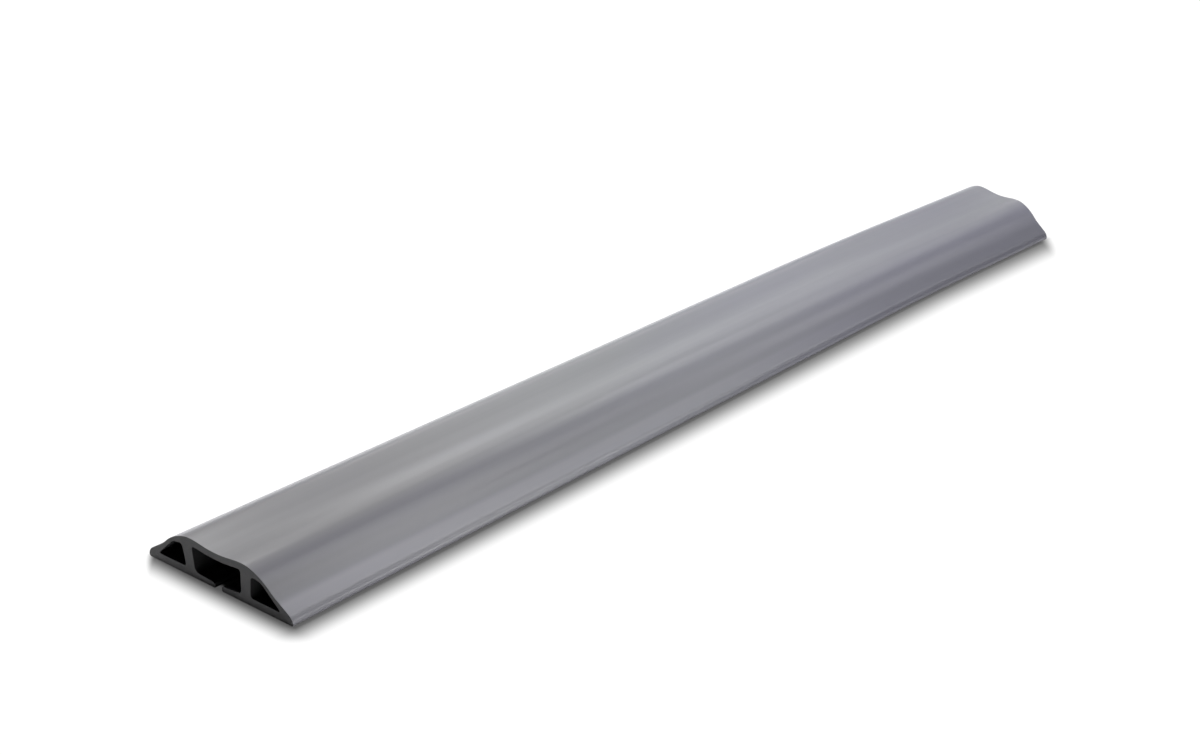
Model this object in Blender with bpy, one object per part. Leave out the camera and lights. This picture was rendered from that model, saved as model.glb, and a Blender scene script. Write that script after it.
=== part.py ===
"""A flexible cable channel: one length of soft extruded PVC that lies over cables on a floor.

The section is a low hump with two rounded crests and a shallow dip between them. It holds a wide middle
chamber, which opens through a narrow slot in the flat underside, and a wedge-shaped chamber on each side.

Frame: X along the strip, Y across it, Z up. The origin is on the underside, at the middle of the strip.
"""

import math

import bmesh
import bpy
from mathutils import Vector
from mathutils.geometry import interpolate_bezier

MM = 0.001

# Driving dimensions, in millimetres and degrees
LENGTH = 495.0
WIDTH = 70.0
HEIGHT = 14.5

# The set left by the coil it was stored in: a slight bend in the plane of the floor, towards -Y
BEND_AT = 371.0
BEND_RUN = 100.0
BEND_ANGLE = 2.1

# How far each hand-made cut is out of square, the +Y side being the longer at both ends
NEAR_CUT_ANGLE = 3.0
FAR_CUT_ANGLE = 16.0

# Outer hump, for the +Y half: a dip, a crest, the steepest place of the slope, the tall round of the toe and its foot
DIP_DEPTH = 1.0
CREST_Y = 12.8
SLOPE_Y = 25.2
SLOPE_Z = 9.05
SLOPE_ANGLE = 43.5
TOE_ANGLE = 34.5
TOE_RADIUS = 4.0
FOOT_ANGLE = 80.0
FOOT_RADIUS = 0.8

# How far each end of a curve keeps its heading
DIP_REACH = 6.0
CREST_REACH = 5.0
SLOPE_REACH = 3.0
TOE_REACH = 3.5

# Middle chamber, its two floor lips and the slot between them
CHAMBER_HALF = 11.8
CHAMBER_FOOT = 11.2
CHAMBER_TOP = 11.85
CEILING_DIP = 0.85
CHAMBER_CORNER = 1.0
FLOOR_THICKNESS = 2.7
FLOOR_FILLET = 2.0
LIP_THICKNESS = 2.0
LIP_TOP_RADIUS = 0.9
LIP_MOUTH_RADIUS = 0.5
SLOT_HALF = 1.65

# Side chambers: each corner's place, and the radius that rounds it
SIDE_FOOT = (15.6, 3.05, 1.1)
SIDE_TOP = (16.7, 11.2, 1.3)
SIDE_SHOULDER = (21.5, 10.35, 3.5)
SIDE_TIP = (29.7, 3.0, 0.4)

# Steps in each quarter circle of a fillet, and in each smooth curve
FILLET_STEPS = 4
TOE_STEPS = 5
FOOT_STEPS = 3
CURVE_STEPS = 6

# Slices that the bend is made of, and how near a corner lies to a slicing plane to count as on it, in metres
BEND_SLICES = 6
ON_PLANE = 1e-7


def point(y, z):
    """A point of the section, as a vector with y and z in millimetres."""
    return Vector((0.0, y, z))


LEVEL = point(1, 0)


def heading(degrees):
    """The direction in the section that falls by this angle as it runs outwards."""
    angle = math.radians(degrees)
    return point(math.cos(angle), -math.sin(angle))


def outwards(degrees):
    """The direction that stands square on a surface which falls by this angle."""
    angle = math.radians(degrees)
    return point(math.sin(angle), math.cos(angle))


def curve(start, start_pull, end, end_pull):
    """A smooth curve between two points, without its last point."""
    return interpolate_bezier(start, start + start_pull, end - end_pull, end, CURVE_STEPS + 1)[:-1]


def arc(centre, start, end, steps):
    """The round run about a centre, between two arms of the same length."""
    turns = [start.slerp(end, step / steps).normalized() for step in range(steps + 1)]
    return [centre + turn * start.length for turn in turns]


def fillet(corner, before, after, radius):
    """The arc that rounds a corner between the straight runs from before and to after."""
    to_before = (before - corner).normalized()
    to_after = (after - corner).normalized()
    half = to_before.angle(to_after) / 2
    setback = radius / math.tan(half)
    centre = corner + (to_before + to_after).normalized() * (radius / math.sin(half))
    start = corner + to_before * setback - centre
    end = corner + to_after * setback - centre
    steps = max(2, round(FILLET_STEPS * start.angle(end) / (math.pi / 2)))
    return arc(centre, start, end, steps)


def hump_half():
    """The outer surface from the middle of the dip down to the floor at the toe."""
    dip = point(0, HEIGHT - DIP_DEPTH)
    crest = point(CREST_Y, HEIGHT)
    slope = point(SLOPE_Y, SLOPE_Z)
    foot_centre = point(WIDTH / 2 - FOOT_RADIUS, FOOT_RADIUS)
    toe_centre = foot_centre - outwards(FOOT_ANGLE) * (TOE_RADIUS - FOOT_RADIUS)
    toe = toe_centre + outwards(TOE_ANGLE) * TOE_RADIUS
    outline = curve(dip, LEVEL * DIP_REACH, crest, LEVEL * CREST_REACH)
    outline += curve(crest, LEVEL * CREST_REACH, slope, heading(SLOPE_ANGLE) * SLOPE_REACH)
    outline += curve(slope, heading(SLOPE_ANGLE) * SLOPE_REACH, toe, heading(TOE_ANGLE) * TOE_REACH)
    outline += arc(toe_centre, outwards(TOE_ANGLE) * TOE_RADIUS, outwards(FOOT_ANGLE) * TOE_RADIUS, TOE_STEPS)[:-1]
    return outline + arc(foot_centre, outwards(FOOT_ANGLE) * FOOT_RADIUS, outwards(180) * FOOT_RADIUS, FOOT_STEPS)


def channel_half():
    """The inside of the middle chamber, from its ceiling round the floor lip to the slot's mouth."""
    ceiling = point(0, CHAMBER_TOP - CEILING_DIP)
    top_corner = point(CHAMBER_HALF, CHAMBER_TOP)
    floor_corner = point(CHAMBER_FOOT, FLOOR_THICKNESS)
    lip_top = point(SLOT_HALF, LIP_THICKNESS)
    lip_mouth = point(SLOT_HALF, 0)
    underside = point(CHAMBER_FOOT, 0)
    top_arc = fillet(top_corner, ceiling, floor_corner, CHAMBER_CORNER)
    rise = (top_corner - ceiling).normalized()
    outline = curve(ceiling, LEVEL * DIP_REACH, top_arc[0], rise * DIP_REACH / 2)
    outline += top_arc
    outline += fillet(floor_corner, top_corner, lip_top, FLOOR_FILLET)
    outline += fillet(lip_top, floor_corner, lip_mouth, LIP_TOP_RADIUS)
    return outline + fillet(lip_mouth, lip_top, underside, LIP_MOUTH_RADIUS)


def side_chamber():
    """The wedge-shaped chamber under the +Y slope, as a closed outline with rounded corners."""
    corners = [SIDE_FOOT, SIDE_TOP, SIDE_SHOULDER, SIDE_TIP]
    places = [point(y, z) for y, z, radius in corners]
    outline = []
    for index, (y, z, radius) in enumerate(corners):
        outline += fillet(places[index], places[index - 1], places[(index + 1) % len(places)], radius)
    return outline


def mirrored(outline):
    """The outline's reflection in the middle plane, run the other way."""
    return [point(-corner.y, corner.z) for corner in reversed(outline)]


def closed_edges(mesh, outline):
    """Adds a closed ring of edges through the points of an outline, in metres."""
    corners = [mesh.verts.new(corner * MM) for corner in outline]
    return [mesh.edges.new((corners[index - 1], corners[index])) for index in range(len(corners))]


def soft_pvc():
    """Satin grey plasticised PVC."""
    material = bpy.data.materials.new("soft_grey_pvc")
    material.use_nodes = True
    shader = material.node_tree.nodes["Principled BSDF"]
    shader.inputs["Base Color"].default_value = (0.22, 0.215, 0.225, 1.0)
    shader.inputs["Roughness"].default_value = 0.42
    shader.inputs["Metallic"].default_value = 0.0
    return material


def bowed(along, across):
    """Where the strip's bend puts a point, from its distance along the middle line and across it."""
    angle = math.radians(BEND_ANGLE)
    start = BEND_AT - BEND_RUN / 2
    radius = BEND_RUN / angle
    turned = min(max((along - start) / radius, 0.0), angle)
    straight = along - radius * turned
    x = radius * math.sin(turned) + across * math.sin(turned)
    y = radius * (math.cos(turned) - 1) + across * math.cos(turned)
    before = min(straight, start)
    after = straight - before
    return before + x + after * math.cos(turned), y - after * math.sin(turned)


def section_face(mesh):
    """Fills the section between its outer skin and the two side chambers, and returns its faces."""
    hump = hump_half()
    channel = channel_half()
    skin = mirrored(hump)[:-1] + hump + channel[:0:-1] + mirrored(channel)[::-1]
    edges = closed_edges(mesh, skin)
    edges += closed_edges(mesh, side_chamber())
    edges += closed_edges(mesh, mirrored(side_chamber()))
    filled = bmesh.ops.triangle_fill(mesh, edges=edges, use_beauty=True)
    return [item for item in filled["geom"] if isinstance(item, bmesh.types.BMFace)]


def cable_channel():
    """The whole strip: its section run out along X, sliced where it bends, then bowed and centred."""
    mesh = bmesh.new()
    run = bmesh.ops.extrude_face_region(mesh, geom=section_face(mesh), use_keep_orig=True)
    far_end = [item for item in run["geom"] if isinstance(item, bmesh.types.BMVert)]
    near_end = [corner for corner in mesh.verts if corner not in far_end]
    for corner in near_end:
        corner.co.x = -corner.co.y * math.tan(math.radians(NEAR_CUT_ANGLE))
    for corner in far_end:
        corner.co.x = LENGTH * MM + corner.co.y * math.tan(math.radians(FAR_CUT_ANGLE))
    for slice_index in range(BEND_SLICES + 1):
        along = BEND_AT + BEND_RUN * (slice_index / BEND_SLICES - 0.5)
        whole = list(mesh.verts) + list(mesh.edges) + list(mesh.faces)
        bmesh.ops.bisect_plane(mesh, geom=whole, dist=ON_PLANE, plane_co=(along * MM, 0, 0), plane_no=(1, 0, 0))
    for corner in mesh.verts:
        x, y = bowed(corner.co.x / MM, corner.co.y / MM)
        corner.co = (x * MM, y * MM, corner.co.z)
    middle_x = (min(corner.co.x for corner in mesh.verts) + max(corner.co.x for corner in mesh.verts)) / 2
    middle_y = (min(corner.co.y for corner in mesh.verts) + max(corner.co.y for corner in mesh.verts)) / 2
    bmesh.ops.translate(mesh, verts=mesh.verts, vec=(-middle_x, -middle_y, 0))
    bmesh.ops.recalc_face_normals(mesh, faces=mesh.faces)
    data = bpy.data.meshes.new("cable_channel")
    mesh.to_mesh(data)
    mesh.free()
    data.shade_smooth()
    data.set_sharp_from_angle(angle=math.radians(35))
    data.materials.append(soft_pvc())
    strip = bpy.data.objects.new("cable_channel", data)
    bpy.context.scene.collection.objects.link(strip)
    return strip


for old in list(bpy.data.objects):
    bpy.data.objects.remove(old)

cable_channel()
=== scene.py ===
# %% [markdown]
# A flexible cable channel is one length of soft PVC, pushed through a shaped hole and cut off by hand. This
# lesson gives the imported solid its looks: a finer skin with rounded cut edges, a satin finish, a pale floor
# and soft light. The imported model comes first, because every piece is set against it.

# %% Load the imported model
import math

import bmesh
import bpy
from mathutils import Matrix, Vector
from mathutils.geometry import interpolate_bezier


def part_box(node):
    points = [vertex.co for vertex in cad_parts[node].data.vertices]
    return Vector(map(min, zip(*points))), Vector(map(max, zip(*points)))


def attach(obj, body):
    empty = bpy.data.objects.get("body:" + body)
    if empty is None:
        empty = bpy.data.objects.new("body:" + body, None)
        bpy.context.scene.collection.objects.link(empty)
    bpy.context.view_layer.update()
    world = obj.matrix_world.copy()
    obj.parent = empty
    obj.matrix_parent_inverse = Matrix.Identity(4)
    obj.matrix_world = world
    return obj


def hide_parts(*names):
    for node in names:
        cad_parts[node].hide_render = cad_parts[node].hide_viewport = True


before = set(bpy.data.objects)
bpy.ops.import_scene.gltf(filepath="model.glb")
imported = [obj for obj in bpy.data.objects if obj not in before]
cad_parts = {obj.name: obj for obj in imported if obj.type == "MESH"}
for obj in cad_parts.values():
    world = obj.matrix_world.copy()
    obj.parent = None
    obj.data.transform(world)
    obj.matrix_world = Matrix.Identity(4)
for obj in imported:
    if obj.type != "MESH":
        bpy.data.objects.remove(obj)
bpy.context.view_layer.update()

MM = 0.001

# %% [markdown]
# The picture was taken from the near left, looking a little down along the strip. Its lens and place were
# worked out from the two cut ends and the long edges, so they are plain numbers here. The camera aims along a
# heading and a downward tilt, and stays level.

# %% Camera
LENS = 48.84
SENSOR_WIDTH = 36.0
CLIP_START = 0.01
HEADING = math.radians(41.29)
DOWN_TILT = math.radians(24.12)
NEAR_X = -0.2522
MIDDLE_Y = 0.002065
NEAR_END = Vector((NEAR_X, MIDDLE_Y, 0.0))
FROM_LENS_TO_NEAR_END = Vector((-0.12157, -0.06775, 0.51914))

forward = Vector((
    math.cos(HEADING) * math.cos(DOWN_TILT),
    math.sin(HEADING) * math.cos(DOWN_TILT),
    -math.sin(DOWN_TILT),
))
right = Vector((math.sin(HEADING), -math.cos(HEADING), 0.0))
up = right.cross(forward)
offset = right * FROM_LENS_TO_NEAR_END.x + up * FROM_LENS_TO_NEAR_END.y + forward * FROM_LENS_TO_NEAR_END.z

camera_data = bpy.data.cameras.new("product_camera")
camera_data.lens = LENS
camera_data.sensor_width = SENSOR_WIDTH
camera_data.clip_start = CLIP_START
camera = bpy.data.objects.new("product_camera", camera_data)
camera.location = NEAR_END - offset
camera.rotation_euler = forward.to_track_quat("-Z", "Y").to_euler()
bpy.context.scene.collection.objects.link(camera)
bpy.context.scene.camera = camera
print("camera stands at", [round(value, 3) for value in camera.location])

# %% [markdown]
# Shader maths reads best as plain arithmetic. This small class wraps one socket, so that adding or multiplying
# two of them adds the Math node. Any other node comes from one method, which sets the node up before it fills
# its sockets.

# %% A socket that does arithmetic


class Shade:
    """One output socket of a material's node tree."""

    def __init__(self, tree, socket=None):
        self.tree = tree
        self.socket = socket

    def feed(self, target, value):
        """Links a socket, or sets a plain value."""
        if isinstance(value, Shade):
            self.tree.links.new(value.socket, target)
        else:
            target.default_value = value

    def node(self, kind, settings=None, sockets=None, output=0):
        """Adds one node and returns its output."""
        made = self.tree.nodes.new(kind)
        for name, value in (settings or {}).items():
            setattr(made, name, value)
        for name, value in (sockets or {}).items():
            self.feed(made.inputs[name], value)
        return Shade(self.tree, made.outputs[output])

    def maths(self, operation, first, second=0.0):
        """Adds one Math node."""
        return self.node("ShaderNodeMath", {"operation": operation}, {0: first, 1: second})

    def __add__(self, other):
        return self.maths("ADD", self, other)

    def __radd__(self, other):
        return self.maths("ADD", other, self)

    def __sub__(self, other):
        return self.maths("SUBTRACT", self, other)

    def __rsub__(self, other):
        return self.maths("SUBTRACT", other, self)

    def __mul__(self, other):
        return self.maths("MULTIPLY", self, other)

    def __truediv__(self, other):
        return self.maths("DIVIDE", self, other)

    def above(self, limit):
        """How far the value lies above a limit, or zero below it."""
        return self.maths("MAXIMUM", self - limit, 0.0)

    def below(self, limit):
        """How far the value lies below a limit, or zero above it."""
        return self.maths("MAXIMUM", limit - self, 0.0)

    def swing(self, size):
        """Turns a noise from 0 to 1 into a change of half this size, up or down."""
        return (self - 0.5) * size

    def band(self, low, high):
        """Runs smoothly from 0 at low to 1 at high."""
        smooth = {"interpolation_type": "SMOOTHSTEP"}
        return self.node("ShaderNodeMapRange", smooth, {0: self, 1: low, 2: high})


# %% [markdown]
# A few nodes come up in more than one material: a coordinate of a place, a mix of two colours, a colour made
# darker or lighter, and a low relief. Each has a function of its own.

# %% Nodes that the materials share
ALONG, ACROSS = 0, 1


def new_material(name):
    """An empty material, with its Principled shader and a start for its expressions."""
    material = bpy.data.materials.new(name)
    material.use_nodes = True
    return material, material.node_tree.nodes["Principled BSDF"], Shade(material.node_tree)


def coordinate(shade, place, axis):
    """One coordinate of a place."""
    return shade.node("ShaderNodeSeparateXYZ", sockets={0: place}, output=axis)


def blend_colours(shade, share, first, second):
    """A mix of two colours, by the share of the second."""
    return shade.node("ShaderNodeMix", {"data_type": "RGBA"}, {0: share, 6: first, 7: second}, output=2)


def toned(shade, colour, tone):
    """A colour made darker or lighter by a factor."""
    return shade.node("ShaderNodeVectorMath", {"operation": "SCALE"}, {0: colour, "Scale": tone})


def relief(shade, height):
    """The direction of a surface with this height on it, in millimetres."""
    return shade.node("ShaderNodeBump", sockets={"Strength": 1.0, "Distance": MM, "Height": height})


# %% [markdown]
# Every pattern on an extruded strip runs along it, also where the strip bends. Each point of the mesh therefore
# keeps the place that it had on the straight strip, in millimetres, and the materials read that place.
# Stretching a noise along the first axis turns its spots into long fine lines.

# %% Patterns that follow the strip
STRAIGHT = "straight"


def straight_place(shade):
    """The place on the straight strip: along it, across it and up, in millimetres."""
    return shade.node("ShaderNodeAttribute", {"attribute_name": STRAIGHT}, output=1)


def strip_noise(shade, place, spot, detail=2.0):
    """Noise whose spots have about this length along the strip and width across it, in millimetres."""
    length, width = spot
    shape = (1 / length, 1 / width, 1 / width)
    scaled = shade.node("ShaderNodeVectorMath", {"operation": "MULTIPLY"}, {0: place, 1: shape})
    return shade.node("ShaderNodeTexNoise", sockets={"Vector": scaled, "Scale": 1.0, "Detail": detail})


# %% [markdown]
# The skin is soft PVC as it leaves the die: satin, dark grey, drawn with very fine lines along the strip and a
# faint grain. The grey is a little warm at the near end and leans towards violet on the slopes and in the far
# half, with a slow drift on top. Faint broad streaks run along it. Light and shade are painted on as well: the
# toe is painted lighter near the camera's end and darker at the far end, and the near slope is painted a little
# darker, because the lamps alone don't give those tones.

# %% Colour of the skin
SKIN_WARM = (0.198, 0.1965, 0.2035, 1.0)
SKIN_GREY = (0.187, 0.192, 0.2035, 1.0)
SKIN_VIOLET = (0.185, 0.184, 0.228, 1.0)
VIOLET_FAR = 0.45
VIOLET_SLOPE = 0.4
VIOLET_DRIFT = 0.8
STREAK_TONE = 0.12
# painted shade on the near slope, painted light on the near toe and painted shade on the far toe
PAINTED_SHADE_NEAR_SLOPE = -0.07
PAINTED_LIGHT_NEAR_TOE = 0.34
PAINTED_SHADE_FAR_TOE = -0.25
# where each change sets in and is whole, in millimetres along the strip
WARM_TO_GREY = (20.0, 220.0)
NEAR_TO_FAR = (40.0, 420.0)
INTO_FAR_HALF = (150.0, 330.0)
# and in millimetres to either side of its middle
ONTO_SLOPE = (13.0, 22.0)
DOWN_NEAR_SLOPE = (17.0, 22.0)
ONTO_FAR_TOE = (24.0, 30.0)
ONTO_NEAR_TOE = (28.0, 30.5)
# length and width of the spots of each noise
DRIFT_SPOT = (130.0, 16.0)
BROAD_LINE = (240.0, 2.6)

skin, skin_shader, shade = new_material("soft_pvc_skin")
place = straight_place(shade)
along = coordinate(shade, place, ALONG)
beside = shade.maths("ABSOLUTE", coordinate(shade, place, ACROSS))
drift = strip_noise(shade, place, DRIFT_SPOT)
broad_lines = strip_noise(shade, place, BROAD_LINE)
violet = along.band(*INTO_FAR_HALF) * VIOLET_FAR + beside.band(*ONTO_SLOPE) * VIOLET_SLOPE
violet = violet + drift.swing(VIOLET_DRIFT)
violet = shade.maths("MAXIMUM", shade.maths("MINIMUM", violet, 1.0), 0.0)
grey = blend_colours(shade, along.band(*WARM_TO_GREY), SKIN_WARM, SKIN_GREY)
farness = along.band(*NEAR_TO_FAR)
# painted light and shade: a darker near slope, a lighter near toe and a darker far toe
painted_shade_near_slope = beside.band(*DOWN_NEAR_SLOPE) * PAINTED_SHADE_NEAR_SLOPE
painted_tone_near_end = painted_shade_near_slope + beside.band(*ONTO_NEAR_TOE) * PAINTED_LIGHT_NEAR_TOE
painted_shade_far_toe = beside.band(*ONTO_FAR_TOE) * PAINTED_SHADE_FAR_TOE
tone = 1 + (1 - farness) * painted_tone_near_end + farness * painted_shade_far_toe + broad_lines.swing(STREAK_TONE)
colour = toned(shade, blend_colours(shade, violet, grey, SKIN_VIOLET), tone)
shade.feed(skin_shader.inputs["Base Color"], colour)
print("colour of the skin:", len(skin.node_tree.nodes), "nodes")

# %% [markdown]
# The lines and the grain are too low to model, so they are bump and small changes of roughness. A slow sway of
# the surface lets the mirrored light waver along the strip, as it does on a soft thing that was coiled.

# %% Surface of the skin
SKIN_ROUGHNESS = 0.3
LINE_ROUGHNESS = 0.05
SKIN_IOR = 1.5
FINE_LINE = (160.0, 0.45)
FINE_HEIGHT = 0.002
BROAD_HEIGHT = 0.004
GRAIN_SPOT = (0.55, 0.35)
GRAIN_HEIGHT = 0.002
SWAY_SPOT = (80.0, 30.0)
SWAY_HEIGHT = 0.15

fine_lines = strip_noise(shade, place, FINE_LINE, detail=3.0)
grain = strip_noise(shade, place, GRAIN_SPOT, detail=1.0)
sway = strip_noise(shade, place, SWAY_SPOT, detail=1.0)
roughness = SKIN_ROUGHNESS + fine_lines.swing(LINE_ROUGHNESS) + grain.swing(LINE_ROUGHNESS)
lines_height = fine_lines * FINE_HEIGHT + broad_lines * BROAD_HEIGHT
height = lines_height + grain * GRAIN_HEIGHT + sway * SWAY_HEIGHT
shade.feed(skin_shader.inputs["Roughness"], roughness)
shade.feed(skin_shader.inputs["Normal"], relief(shade, height))
skin_shader.inputs["IOR"].default_value = SKIN_IOR
print("whole skin:", len(skin.node_tree.nodes), "nodes")

# %% [markdown]
# A knife leaves the cut ends matt, with slight drag marks, and the chamber walls never met the polished outside
# of the die. Both are the same plastic as the skin, and their much darker greys are painted shade, for the cut
# ends and for the deep chambers. They share one recipe with other numbers.

# %% Cut ends and chamber walls
# painted shade: the cut ends and the chambers are the skin's plastic, painted darker for the shade they lie in
CUT_PAINTED_SHADE_GREY = (0.036, 0.036, 0.038, 1.0)
WALL_PAINTED_SHADE_GREY = (0.02, 0.02, 0.021, 1.0)
MOTTLE_SPOT = (6.0, 6.0)
MOTTLE_EDGES = (0.3, 0.7)
MOTTLE_TONE = 1.25
MARK_ROUGHNESS = 0.2


def raw_pvc_in_painted_shade(name, colour, roughness, mark, mark_height):
    """Unpolished PVC with drag marks of this length and width, in millimetres, in a dark grey of painted shade.
    """
    material, shader, shade = new_material(name)
    place = straight_place(shade)
    marks = strip_noise(shade, place, mark, detail=3.0)
    mottle = strip_noise(shade, place, MOTTLE_SPOT)
    light = tuple(channel * MOTTLE_TONE for channel in colour[:3]) + (1.0,)
    mottled = blend_colours(shade, mottle.band(*MOTTLE_EDGES), colour, light)
    shade.feed(shader.inputs["Base Color"], mottled)
    shade.feed(shader.inputs["Roughness"], roughness + marks.swing(MARK_ROUGHNESS))
    shade.feed(shader.inputs["Normal"], relief(shade, marks * mark_height))
    return material


cut_face = raw_pvc_in_painted_shade("cut_pvc", CUT_PAINTED_SHADE_GREY, roughness=0.6, mark=(8.0, 0.5), mark_height=0.05)
chamber_wall = raw_pvc_in_painted_shade("chamber_pvc", WALL_PAINTED_SHADE_GREY, roughness=0.55, mark=(60.0, 0.8), mark_height=0.03)
print("cut and chamber finishes made")

# %% [markdown]
# The section of the strip is drawn once, in millimetres, with y across and z up. Half of it is enough, because
# the other half is its reflection. Smooth runs are Bezier curves between a few named places, and corners are
# true arcs.

# %% Curves and arcs of the section
CURVE_STEPS = 14
FILLET_STEPS = 6
TOE_STEPS = 12
FOOT_STEPS = 6


def point(y, z):
    """A point of the section."""
    return Vector((0.0, y, z))


LEVEL = point(1, 0)


def heading(degrees):
    """The direction that falls by this angle as it runs outwards."""
    angle = math.radians(degrees)
    return point(math.cos(angle), -math.sin(angle))


def outwards(degrees):
    """The direction that stands square on a surface which falls by this angle."""
    angle = math.radians(degrees)
    return point(math.sin(angle), math.cos(angle))


def curve(start, start_pull, end, end_pull):
    """A smooth curve between two points, without its last point."""
    return interpolate_bezier(start, start + start_pull, end - end_pull, end, CURVE_STEPS + 1)[:-1]


def arc(centre, start, end, steps):
    """The round run about a centre, between two arms of the same length."""
    turns = [start.slerp(end, step / steps).normalized() for step in range(steps + 1)]
    return [centre + turn * start.length for turn in turns]


def fillet(corner, before, after, radius):
    """The arc that rounds a corner between the straight runs from before and to after."""
    to_before = (before - corner).normalized()
    to_after = (after - corner).normalized()
    half = to_before.angle(to_after) / 2
    setback = radius / math.tan(half)
    centre = corner + (to_before + to_after).normalized() * (radius / math.sin(half))
    start = corner + to_before * setback - centre
    end = corner + to_after * setback - centre
    steps = max(2, round(FILLET_STEPS * start.angle(end) / (math.pi / 2)))
    return arc(centre, start, end, steps)


print("a smooth curve has", CURVE_STEPS, "steps, and a quarter of a fillet", FILLET_STEPS)

# %% [markdown]
# The outside is a low hump: a shallow dip in the middle, a rounded crest, a slope that is steepest half way
# down, and a small round toe. A wheel rolls over it and a shoe doesn't trip on it, which is the reason for the
# shape.

# %% Outside of the section
WIDTH = 70.0
HEIGHT = 14.5
DIP_DEPTH = 1.0
CREST = point(12.8, HEIGHT)
SLOPE = point(25.2, 9.05)
SLOPE_ANGLE = 43.5
TOE_ANGLE = 34.5
TOE_RADIUS = 4.0
FOOT_ANGLE = 80.0
FOOT_RADIUS = 0.8
UNDERSIDE_ANGLE = 180.0
DIP_REACH = 6.0
CREST_REACH = 5.0
SLOPE_REACH = 3.0
TOE_REACH = 3.5


def hump_half():
    """The outer surface from the middle of the dip down to the floor."""
    dip = point(0, HEIGHT - DIP_DEPTH)
    slope_pull = heading(SLOPE_ANGLE) * SLOPE_REACH
    foot_centre = point(WIDTH / 2 - FOOT_RADIUS, FOOT_RADIUS)
    foot_arm = outwards(FOOT_ANGLE) * FOOT_RADIUS
    toe_centre = foot_centre - outwards(FOOT_ANGLE) * (TOE_RADIUS - FOOT_RADIUS)
    toe_arm = outwards(TOE_ANGLE) * TOE_RADIUS
    outline = curve(dip, LEVEL * DIP_REACH, CREST, LEVEL * CREST_REACH)
    outline += curve(CREST, LEVEL * CREST_REACH, SLOPE, slope_pull)
    outline += curve(SLOPE, slope_pull, toe_centre + toe_arm, heading(TOE_ANGLE) * TOE_REACH)
    outline += arc(toe_centre, toe_arm, outwards(FOOT_ANGLE) * TOE_RADIUS, TOE_STEPS)[:-1]
    return outline + arc(foot_centre, foot_arm, outwards(UNDERSIDE_ANGLE) * FOOT_RADIUS, FOOT_STEPS)


print("half of the outside has", len(hump_half()), "points")

# %% [markdown]
# The cables lie in the middle chamber, and are pressed in through the slot between the two lips of its floor.
# The two side chambers only save plastic and keep the slopes soft. Each chamber has rounded corners, as the die
# has.

# %% Chambers of the section
CHAMBER_HALF = 11.8
CHAMBER_FOOT = 11.2
CHAMBER_TOP = 11.85
CEILING_DIP = 0.85
CHAMBER_CORNER = 1.0
FLOOR_THICKNESS = 2.7
FLOOR_FILLET = 2.0
LIP_THICKNESS = 2.0
LIP_TOP_RADIUS = 0.9
LIP_MOUTH_RADIUS = 0.5
SLOT_HALF = 1.65
SIDE_CORNERS = [point(15.6, 3.05), point(16.7, 11.2), point(21.5, 10.35), point(29.7, 3.0)]
SIDE_RADII = [1.1, 1.3, 3.5, 0.4]


def channel_half():
    """The middle chamber from its ceiling round the floor lip to the slot's mouth."""
    ceiling = point(0, CHAMBER_TOP - CEILING_DIP)
    top_corner = point(CHAMBER_HALF, CHAMBER_TOP)
    floor_corner = point(CHAMBER_FOOT, FLOOR_THICKNESS)
    lip_top = point(SLOT_HALF, LIP_THICKNESS)
    lip_mouth = point(SLOT_HALF, 0)
    top_arc = fillet(top_corner, ceiling, floor_corner, CHAMBER_CORNER)
    rise = (top_corner - ceiling).normalized()
    outline = curve(ceiling, LEVEL * DIP_REACH, top_arc[0], rise * DIP_REACH / 2) + top_arc
    outline += fillet(floor_corner, top_corner, lip_top, FLOOR_FILLET)
    outline += fillet(lip_top, floor_corner, lip_mouth, LIP_TOP_RADIUS)
    return outline + fillet(lip_mouth, lip_top, point(CHAMBER_FOOT, 0), LIP_MOUTH_RADIUS)


def side_chamber():
    """The wedge-shaped chamber under one slope, as a closed outline."""
    outline = []
    for index, corner in enumerate(SIDE_CORNERS):
        before = SIDE_CORNERS[index - 1]
        after = SIDE_CORNERS[(index + 1) % len(SIDE_CORNERS)]
        outline += fillet(corner, before, after, SIDE_RADII[index])
    return outline


def mirrored(outline):
    """The outline's reflection in the middle plane, run the other way."""
    return [point(-corner.y, corner.z) for corner in reversed(outline)]


print("half of the middle chamber has", len(channel_half()), "points, a side chamber", len(side_chamber()))

# %% [markdown]
# The section becomes a strip in the way that the factory makes it: its outline is pushed out along X. Each wall
# remembers by its material whether it is skin or chamber, and the two ends are filled and given a third one.
# The walls are then divided along their length, so that they can bend.

# %% Push the section out
LENGTH = 495.0
NEAR_CUT_ANGLE = 3.0
FAR_CUT_ANGLE = 16.0
CUTS_ALONG = 165
SLACK = 0.1
SKIN, CUT, CHAMBER = 0, 1, 2


def ring(mesh, outline):
    """Adds a closed ring of edges through an outline."""
    corners = [mesh.verts.new(corner) for corner in outline]
    return [mesh.edges.new((corners[index - 1], corners[index])) for index in range(len(corners))]


def in_middle_chamber(corner):
    """Whether a corner of the outline lies round the middle chamber or its slot."""
    return abs(corner.co.y) < CHAMBER_HALF + SLACK and corner.co.z < CHAMBER_TOP + SLACK


def cut_off(mesh, far_corners):
    """Moves the two ends of the straight strip to their slanting cuts."""
    for corner in mesh.verts:
        if corner in far_corners:
            corner.co.x = LENGTH + corner.co.y * math.tan(math.radians(FAR_CUT_ANGLE))
        else:
            corner.co.x = -corner.co.y * math.tan(math.radians(NEAR_CUT_ANGLE))


def fill_end(mesh, edges):
    """Closes one cut end and marks its faces as cut."""
    for item in bmesh.ops.triangle_fill(mesh, edges=edges, use_beauty=True)["geom"]:
        if isinstance(item, bmesh.types.BMFace):
            item.material_index = CUT


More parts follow.
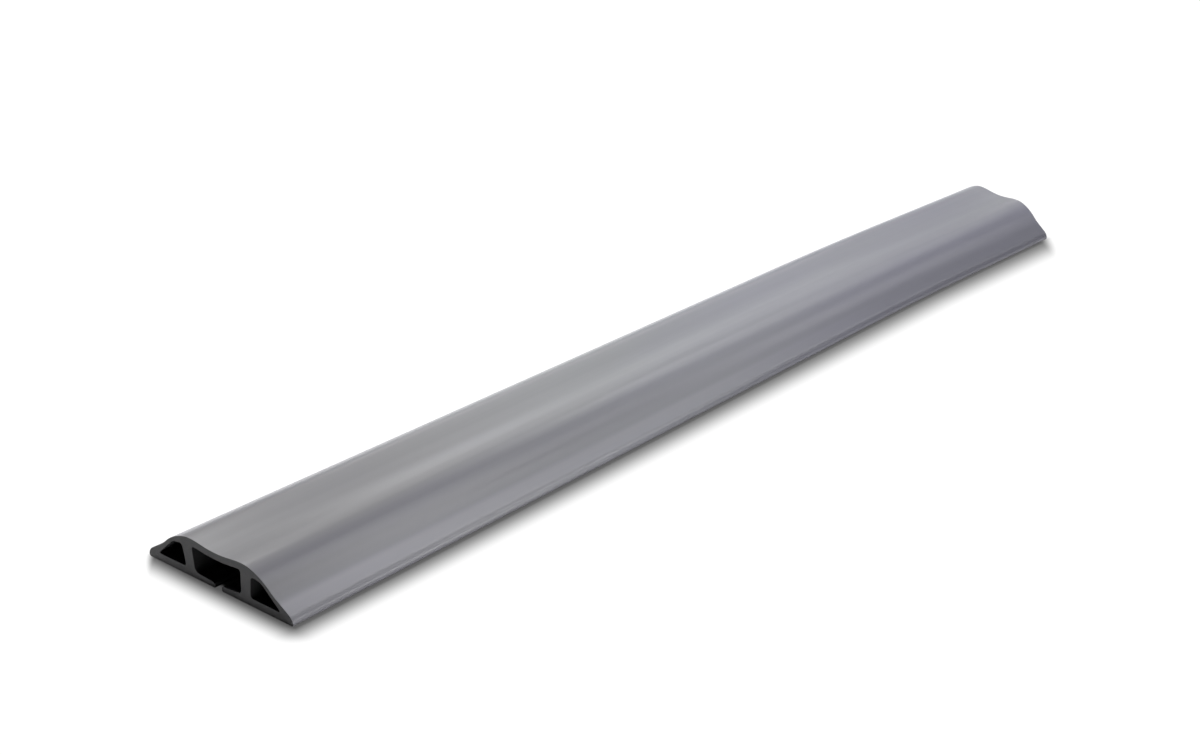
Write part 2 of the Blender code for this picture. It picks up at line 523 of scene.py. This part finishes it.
def pushed_out():
    """The straight strip in millimetres, cut out of square at both ends."""
    mesh = bmesh.new()
    hump = hump_half()
    channel = channel_half()
    around = ring(mesh, mirrored(hump)[:-1] + hump + channel[:0:-1] + mirrored(channel)[::-1])
    middle = [edge for edge in around if all(in_middle_chamber(corner) for corner in edge.verts)]
    sides = ring(mesh, side_chamber()) + ring(mesh, mirrored(side_chamber()))
    inner = set(middle + sides)
    near = around + sides
    run = bmesh.ops.extrude_edge_only(mesh, edges=near)["geom"]
    for wall in mesh.faces:
        wall.material_index = CHAMBER if any(edge in inner for edge in wall.edges) else SKIN
    far_corners = {item for item in run if isinstance(item, bmesh.types.BMVert)}
    far = [edge for edge in mesh.edges if all(corner in far_corners for corner in edge.verts)]
    lengthwise = [edge for edge in mesh.edges if sum(corner in far_corners for corner in edge.verts) == 1]
    cut_off(mesh, far_corners)
    fill_end(mesh, near)
    fill_end(mesh, far)
    bmesh.ops.subdivide_edges(mesh, edges=lengthwise, cuts=CUTS_ALONG, use_grid_fill=True)
    bmesh.ops.recalc_face_normals(mesh, faces=mesh.faces)
    return mesh


def open_edges(mesh):
    """How many edges don't have exactly two faces."""
    return sum(not edge.is_manifold for edge in mesh.edges)


strip_mesh = pushed_out()
print("straight strip:", len(strip_mesh.faces), "faces,", open_edges(strip_mesh), "open edges")

# %% [markdown]
# A cut through soft plastic is never a perfect knife edge: the rims of both ends are very slightly rounded, and
# catch a thin line of light. A bevel of a tenth of a millimetre does that. The edges round it are marked sharp,
# which keeps the cut ends flat in shading.

# %% Round the cut rims
RIM_ROUNDING = 0.12
RIM_STEPS = 2
ROUND_PROFILE = 0.5
FINISH_OF_NEIGHBOUR = -1


def finishes_beside(edge):
    """The materials on the two sides of an edge."""
    return {face.material_index for face in edge.link_faces}


rims = [edge for edge in strip_mesh.edges if CUT in finishes_beside(edge) and len(finishes_beside(edge)) > 1]
bevelled = bmesh.ops.bevel(
    strip_mesh,
    geom=rims,
    offset=RIM_ROUNDING,
    affect="EDGES",
    segments=RIM_STEPS,
    profile=ROUND_PROFILE,
    material=FINISH_OF_NEIGHBOUR,
)
rounded = set(bevelled["faces"])
for edge in strip_mesh.edges:
    edge.smooth = sum(face in rounded for face in edge.link_faces) != 1
print(len(rims), "rim edges rounded;", open_edges(strip_mesh), "open edges")

# %% [markdown]
# The strip was stored in a coil, so it keeps a slight sideways bend on the floor. Each point first notes its
# straight place for the materials, and is then carried to its place on the bend. The finished mesh is in
# metres, and its middle is on the middle of the solid that it replaces.

# %% Bend the strip
BEND_AT = 371.0
BEND_RUN = 100.0
BEND_ANGLE = 2.1


def bowed(place):
    """Where the bend puts a point of the straight strip."""
    angle = math.radians(BEND_ANGLE)
    start = BEND_AT - BEND_RUN / 2
    radius = BEND_RUN / angle
    turned = min(max((place.x - start) / radius, 0.0), angle)
    straight = place.x - radius * turned
    before = min(straight, start)
    after = straight - before
    x = before + (radius + place.y) * math.sin(turned) + after * math.cos(turned)
    y = radius * (math.cos(turned) - 1) + place.y * math.cos(turned) - after * math.sin(turned)
    return Vector((x, y, place.z))


noted = strip_mesh.verts.layers.float_vector.new(STRAIGHT)
for corner in strip_mesh.verts:
    corner[noted] = corner.co
    corner.co = bowed(corner.co) * MM
lows = [min(corner.co[axis] for corner in strip_mesh.verts) for axis in (ALONG, ACROSS)]
highs = [max(corner.co[axis] for corner in strip_mesh.verts) for axis in (ALONG, ACROSS)]
solid_low, solid_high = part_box("cable_channel")
shift = [(solid_low[axis] + solid_high[axis] - lows[axis] - highs[axis]) / 2 for axis in (ALONG, ACROSS)]
bmesh.ops.translate(strip_mesh, verts=strip_mesh.verts, vec=(shift[0], shift[1], 0.0))
print("moved onto the solid's middle by, mm:", [round(value / MM, 3) for value in shift])

# %% [markdown]
# The mesh becomes an object, with its three finishes. It rides on the one body of the model and stands for its
# solid.

# %% The finished strip
strip_data = bpy.data.meshes.new("soft_strip")
strip_mesh.to_mesh(strip_data)
strip_mesh.free()
strip_data.shade_smooth()
for finish in (skin, cut_face, chamber_wall):
    strip_data.materials.append(finish)
strip = bpy.data.objects.new("soft_strip", strip_data)
bpy.context.scene.collection.objects.link(strip)
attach(strip, "root")
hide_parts("cable_channel")
print("strip:", sum(len(face.vertices) - 2 for face in strip_data.polygons), "triangles")

# %% [markdown]
# In the picture a soft grey shade lies along the front and the near end of the strip, deeper than soft light
# leaves. The board's material paints it, by the distance from the strip's outline. The near side of that
# outline follows the slanting cut, and the front and rear sides follow the bend. The shade widens towards the
# far end, falls slantwise towards the near right and is narrow along the rear.

# %% Distance from the strip, on the board
FAR_X = 0.2253
FRONT_Y = -0.033
REAR_Y = 0.0345
BEND_X = 0.119
BEND_SLOPE = math.tan(math.radians(BEND_ANGLE))
CUT_SLOPE = math.tan(math.radians(NEAR_CUT_ANGLE))
SHADE_SLANT = 1.1
REACH_AT_NEAR_END = 0.0117
REACH_GROWTH = 0.0178
NEAR_REACH_SHARE = 0.84
FAR_REACH_SHARE = 0.6
REAR_REACH_SHARE = 0.4

board, board_shader, shade = new_material("white_board")
place = shade.node("ShaderNodeTexCoord", output="Object")
along = coordinate(shade, place, ALONG)
across = coordinate(shade, place, ACROSS) + along.above(BEND_X) * BEND_SLOPE
from_cut = along - NEAR_X + (across - MIDDLE_Y) * CUT_SLOPE
beyond_near = from_cut.below(0.0)
beyond_front = across.below(FRONT_Y)
beyond_far = (along + beyond_front * SHADE_SLANT).above(FAR_X)
beyond_rear = (across + beyond_near * SHADE_SLANT).above(REAR_Y)
beyond_end = beyond_near / NEAR_REACH_SHARE + beyond_far / FAR_REACH_SHARE
beyond_side = beyond_front + beyond_rear / REAR_REACH_SHARE
distance = shade.maths("SQRT", beyond_end * beyond_end + beyond_side * beyond_side)
reach = REACH_AT_NEAR_END + along.above(NEAR_X) * REACH_GROWTH
whiteness = (distance / reach).band(0.0, 1.0)
reach_at_far_end = REACH_AT_NEAR_END + (FAR_X - NEAR_X) * REACH_GROWTH
print("the shade reaches, mm:", [round(value / MM, 1) for value in (REACH_AT_NEAR_END, reach_at_far_end)])

# %% [markdown]
# Past its mouth the board under the slot is painted dark, as painted shade. What the camera sees of the board
# is mostly the painted tone, and its lit white for the rest. Light that bounces up is that of the lit board
# alone, so the paint doesn't darken the strip.

# %% Tones of the board
BOARD_WHITE = (0.86, 0.86, 0.86, 1.0)
BOARD_ROUGHNESS = 0.95
SHADE_GREY = (0.1, 0.1, 0.1, 1.0)
SEEN_WHITE = (1.05, 1.05, 1.05, 1.0)
PAINTED_SHARE = 0.9
PAST_SLOT_MOUTH = (0.0012, 0.0035)
UP_TO_FAR_END = (FAR_X - 0.02, FAR_X)
BESIDE_SLOT = (2.0, 3.0)

slot_widths = shade.maths("ABSOLUTE", across - MIDDLE_Y) / (SLOT_HALF * MM)
in_slot = from_cut.band(*PAST_SLOT_MOUTH) - along.band(*UP_TO_FAR_END)
# painted shade on the board inside the slot
painted_slot_shade = in_slot * (1 - slot_widths.band(*BESIDE_SLOT))
tone = blend_colours(shade, whiteness, SHADE_GREY, SEEN_WHITE)
painted = shade.node("ShaderNodeEmission", sockets={"Color": toned(shade, tone, 1 - painted_slot_shade)})
seen = shade.node("ShaderNodeLightPath", output="Is Camera Ray")
lit = Shade(board.node_tree, board_shader.outputs["BSDF"])
both = shade.node("ShaderNodeMixShader", sockets={0: seen * PAINTED_SHARE, 1: lit, 2: painted})
shade.feed(board.node_tree.nodes["Material Output"].inputs["Surface"], both)
board_shader.inputs["Base Color"].default_value = BOARD_WHITE
board_shader.inputs["Roughness"].default_value = BOARD_ROUGHNESS
board_shader.inputs["Specular IOR Level"].default_value = 0.0
print("board:", len(board.node_tree.nodes), "nodes")

# %% [markdown]
# The floor is a wide sheet of this board that runs far past the picture, so that no edge of it shows. It is not
# part of the object, so it rides on no body.

# %% Floor
FLOOR_HALF = 20.0

floor_mesh = bmesh.new()
bmesh.ops.create_grid(floor_mesh, x_segments=1, y_segments=1, size=FLOOR_HALF)
floor_data = bpy.data.meshes.new("studio_floor")
floor_mesh.to_mesh(floor_data)
floor_mesh.free()
floor_data.materials.append(board)
floor = bpy.data.objects.new("studio_floor", floor_data)
bpy.context.scene.collection.objects.link(floor)
print("floor is", 2 * FLOOR_HALF, "m wide")

# %% [markdown]
# The light is that of a product studio in a dark room: the strongest lamp high behind the strip, two more
# behind it, weaker ones in front on the right, and rows of weak ones beyond the far end. A satin skin shows
# the mirror image of these rows, so their gaps and powers draw the bright crest, the dark band below it and
# the lighter slope. The powers were worked out from renders with one lamp at a time, by a least-squares fit
# to the picture, and then adjusted.

# %% Light
LIGHT_DISTANCE = 1.6
LIGHT_SIZE = 0.28
# direction round from the far end towards the rear and height above the floor, in degrees, then watts
SOFT_LIGHTS = [
    (-60, 8, 3.49), (-58, 32, 1.1), (-48, 24, 3.0), (-48, 48, 2.0), (-40, 31, 1.1),
    (-34, 53, 1.8), (-24, 35, 1.3), (-24, 62, 0.95), (-14, 44, 0.86), (-14, 62, 0.88),
    (6, 35, 0.49), (6, 44, 0.43), (16, 8, 1.43), (16, 35, 0.29), (16, 44, 0.69),
    (26, 8, 0.14), (26, 26, 0.28), (26, 44, 0.99), (36, 17, 0.35), (36, 35, 0.36),
    (46, 17, 0.43), (46, 35, 0.51), (56, 17, 0.54), (76, 50, 7.0), (100, 20, 8.15),
    (100, 50, 22.21),
]


def soft_light(azimuth, elevation, power):
    """A square light that faces the strip from this direction."""
    name = f"light_{azimuth}_{elevation}"
    data = bpy.data.lights.new(name, "AREA")
    data.shape = "SQUARE"
    data.size = LIGHT_SIZE
    data.energy = power
    light = bpy.data.objects.new(name, data)
    turn = math.radians(azimuth)
    rise = math.radians(elevation)
    direction = Vector((math.cos(turn) * math.cos(rise), math.sin(turn) * math.cos(rise), math.sin(rise)))
    light.location = direction * LIGHT_DISTANCE
    light.rotation_euler = (-direction).to_track_quat("-Z", "Y").to_euler()
    bpy.context.scene.collection.objects.link(light)


for azimuth, elevation, power in SOFT_LIGHTS:
    soft_light(azimuth, elevation, power)
world = bpy.data.worlds.new("studio_room")
world.use_nodes = True
world.node_tree.nodes["Background"].inputs["Strength"].default_value = 0.0
bpy.context.scene.world = world
print("lights:", len(SOFT_LIGHTS), "of", round(sum(light[2] for light in SOFT_LIGHTS), 1), "W in all")

# %% [markdown]
# A plain view transform keeps the white floor white.

# %% Finish
bpy.context.scene.view_settings.view_transform = "Standard"
